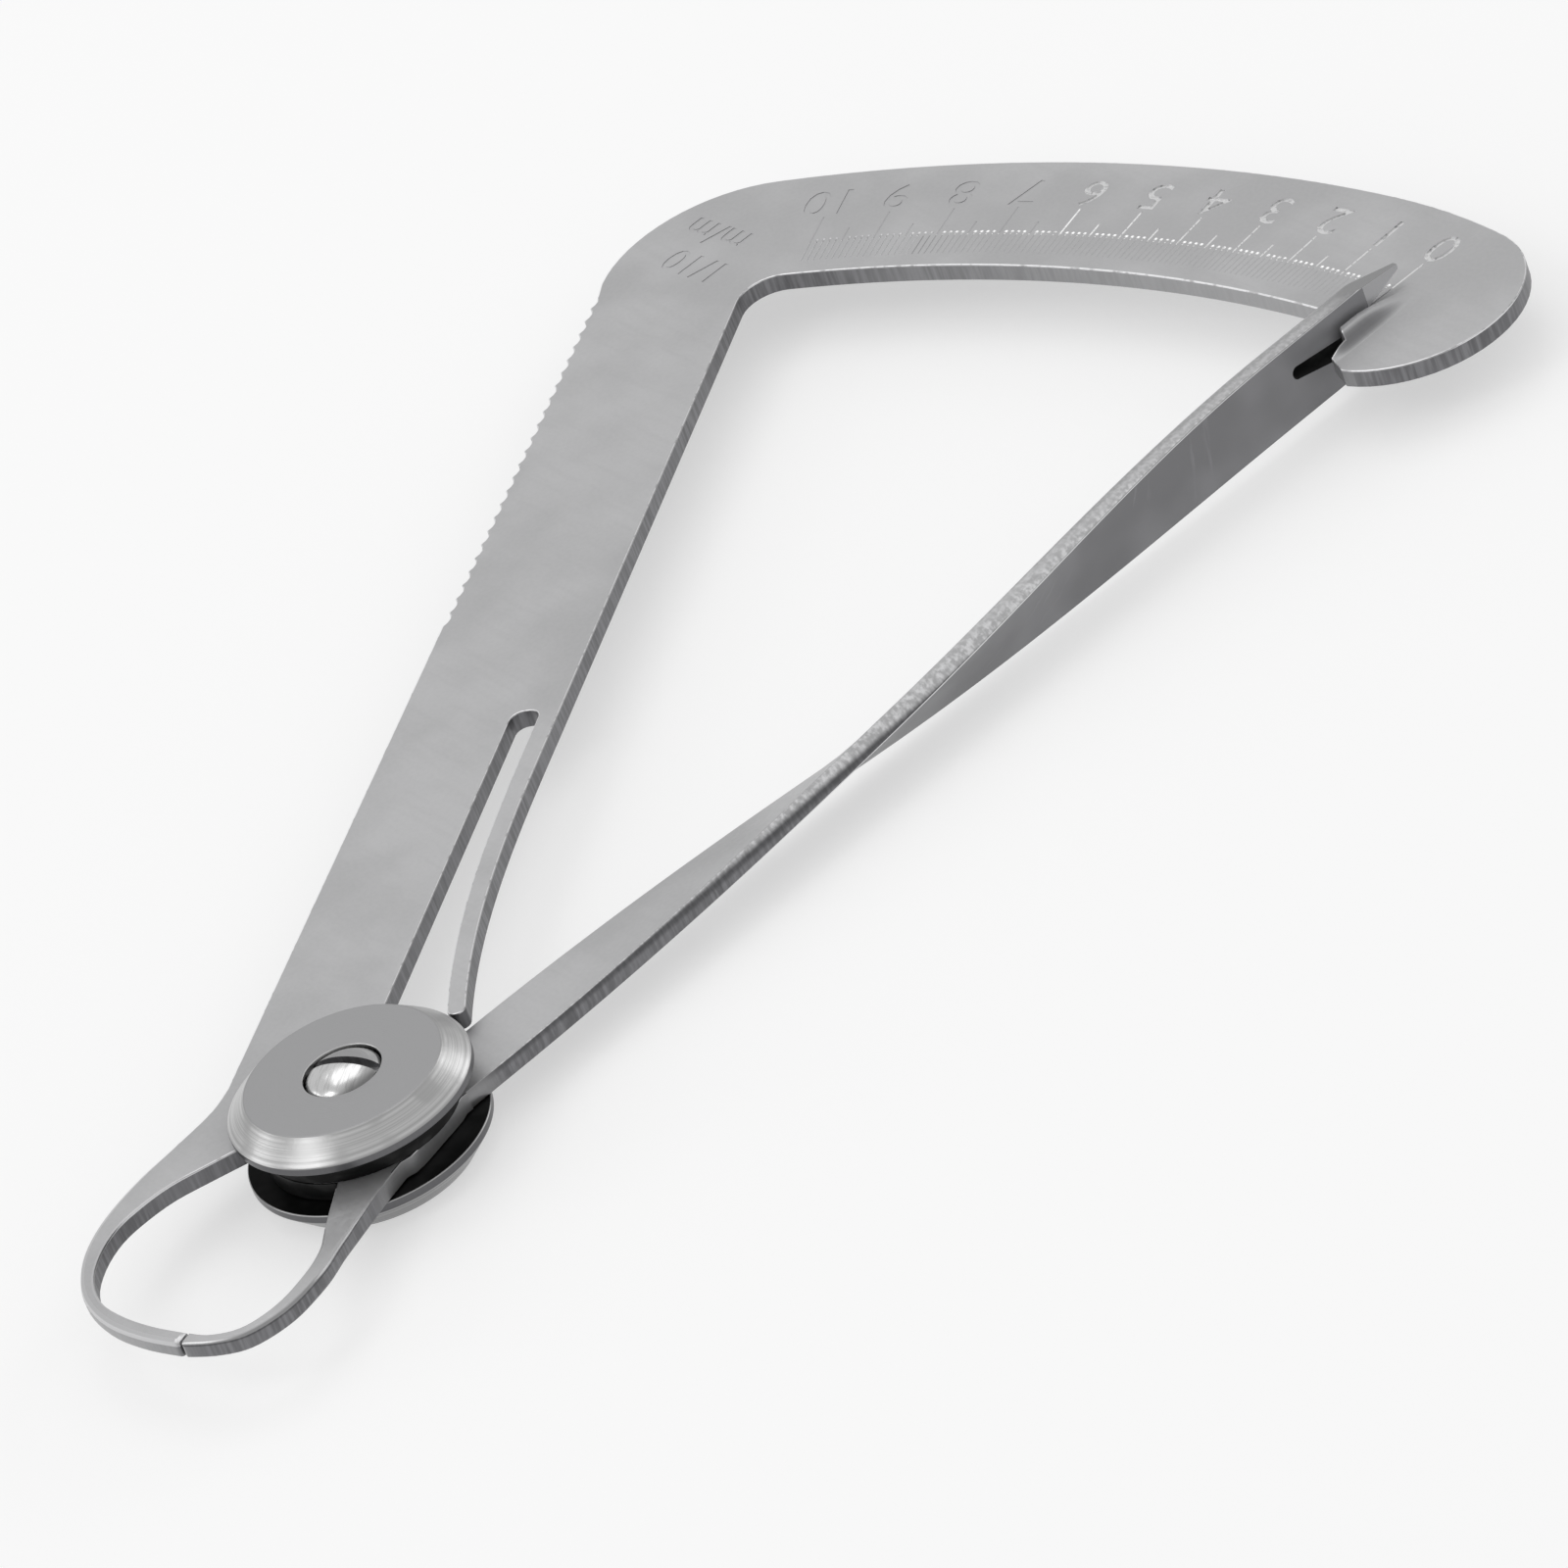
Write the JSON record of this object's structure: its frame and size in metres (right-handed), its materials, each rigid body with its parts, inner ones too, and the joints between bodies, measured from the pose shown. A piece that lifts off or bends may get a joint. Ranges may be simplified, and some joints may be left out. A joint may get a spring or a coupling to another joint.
{
  "type": "dental caliper",
  "caption": "Sprung thickness caliper with bowed claw jaws, a twisted pointer arm that straddles an engraved arc scale, and a turned disc pivot.",
  "frame": {"origin": "on the pivot axis, at the back disc's flat underside", "axes": "+Z out of the engraved face, +Y from the pivot to the scale, jaws towards -Y"},
  "size_m": [0.0614, 0.1053, 0.0066],
  "materials": {
    "sheet_steel": "satin, fine matt blasted faces with ground edges",
    "turned_steel": "satin face with a bright turned chamfer",
    "inner_steel": "plain turned",
    "screw_steel": "polished dome"
  },
  "bodies": {
    "frame": {"frame_plate": "sheet_steel", "front_disc": "turned_steel", "back_disc": "turned_steel", "pivot_bush": "inner_steel", "pivot_screw": "screw_steel"},
    "pointer": {"pointer_arm": "sheet_steel"},
    "tongue": {"spring_tongue": "sheet_steel"}
  },
  "joints": [
    {"name": "pointer_swing", "type": "hinge", "parent": "frame", "child": "pointer", "pos_m": [0, 0, 0.0025], "axis": [0, 0, 1], "range_deg": [0, 30.17], "stiffness_Nm_per_rad": 0.03, "springref_deg": -34.38},
    {"name": "tongue_flex", "type": "hinge", "parent": "frame", "child": "tongue", "pos_m": [-0.00885, 0.03142, 0.00365], "axis": [0, 0, 1], "range_deg": [-8, 0]}
  ],
  "couplings": [
    {"joint": "tongue_flex", "follows": "pointer_swing", "ratio": -0.25}
  ]
}
